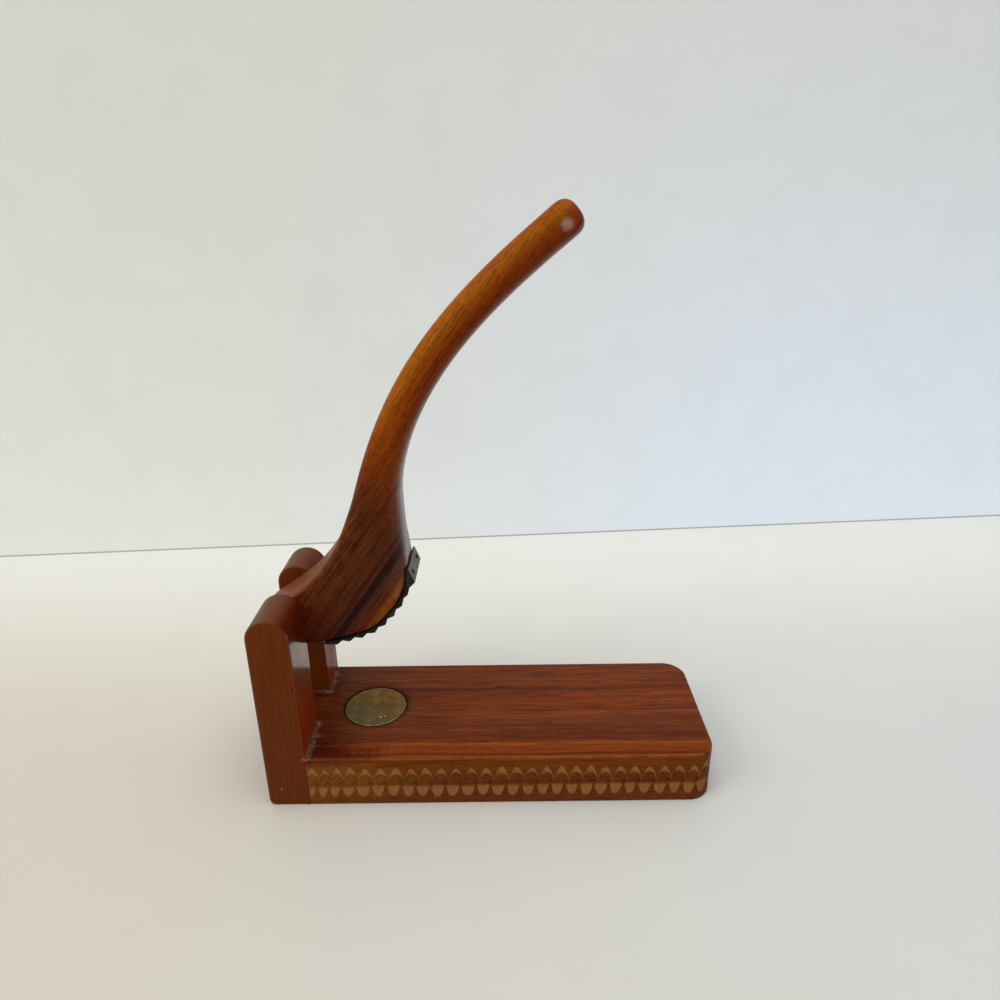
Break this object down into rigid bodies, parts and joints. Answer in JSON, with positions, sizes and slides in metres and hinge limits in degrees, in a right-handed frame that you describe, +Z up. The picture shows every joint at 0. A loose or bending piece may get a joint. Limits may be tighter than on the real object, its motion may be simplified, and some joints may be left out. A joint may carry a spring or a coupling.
{
  "type": "lever nutcracker press",
  "caption": "Wooden lever nutcracker: a board with an inset anvil disc, a forked post and a curved pivoting lever with a toothed jaw strip.",
  "frame": {"origin": "middle of the base's underside, on the surface it stands on", "axes": "+Z up, +X along the board away from the cheeks, -Y the near side; the lever swings about +Y"},
  "size_m": [0.2151, 0.076, 0.2675],
  "materials": {
    "board_wood": "satin lacquer on red-brown hardwood, carved border on the sides",
    "cheek_wood": "satin lacquer on plainer red-brown hardwood",
    "lever_wood": "satin lacquer on streaked orange-brown hardwood",
    "dowel_wood": "bare beech, hidden",
    "anvil_brass": "worn, tarnished to olive",
    "strip_iron": "blackened, worn grey on its end flank",
    "pin_steel": "plain, hidden",
    "brad_steel": "darkened"
  },
  "bodies": {
    "base": {"base_board": "board_wood", "near_cheek": "cheek_wood", "far_cheek": "cheek_wood", "anvil_disc": "anvil_brass", "pivot_pin": "pin_steel", "cheek_dowel_1": "dowel_wood", "cheek_dowel_2": "dowel_wood"},
    "lever": {"lever": "lever_wood", "toothed_strip": "strip_iron", "strip_brad_1": "brad_steel", "strip_brad_2": "brad_steel", "strip_brad_3": "brad_steel", "strip_brad_4": "brad_steel"}
  },
  "joints": [
    {"name": "lever_pivot", "type": "hinge", "parent": "base", "child": "lever", "pos_m": [-0.09625, 0.0017, 0.083], "axis": [0, 1, 0], "range_deg": [-146, 67]}
  ]
}
